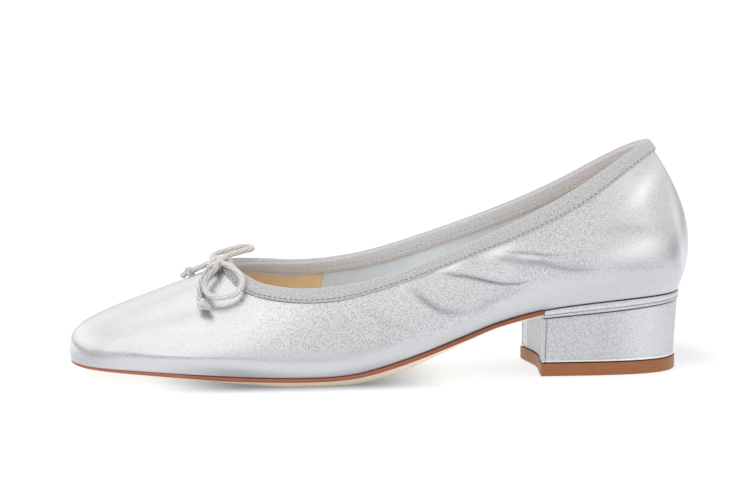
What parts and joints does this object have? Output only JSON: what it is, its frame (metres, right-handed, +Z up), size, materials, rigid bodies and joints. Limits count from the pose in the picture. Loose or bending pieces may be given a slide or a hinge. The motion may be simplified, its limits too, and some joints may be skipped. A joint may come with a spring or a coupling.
{
  "type": "ballet pump with block heel",
  "caption": "Low-cut metallic leather ballet pump for a left foot, with a soft square toe, bound topline, small cord bow and low covered block heel.",
  "frame": {"origin": "on the floor, under the middle of the shoe's length and width", "axes": "+X from toe to heel, +Y towards the inner side of the foot, +Z up"},
  "size_m": [0.2496, 0.0768, 0.0923],
  "materials": {
    "silver_leather": "silver foil on fine grain",
    "grey_binding": "ribbed tape",
    "tan_leather": "smooth, matt",
    "sole_leather": "painted edge",
    "heel_lift": "smooth, brown",
    "grey_cord": "braided"
  },
  "bodies": {
    "root": {"upper": "silver_leather", "topline_binding": "grey_binding", "insole": "tan_leather", "outsole": "sole_leather", "heel_rand": "silver_leather", "heel_block": "silver_leather", "heel_top_piece": "heel_lift", "bow_knot": "grey_cord", "bow_loop_lateral": "grey_cord", "bow_loop_medial": "grey_cord", "bow_end_lateral": "grey_cord", "bow_end_medial": "grey_cord", "bow_tip_lateral": "grey_cord", "bow_tip_medial": "grey_cord"}
  },
  "joints": []
}
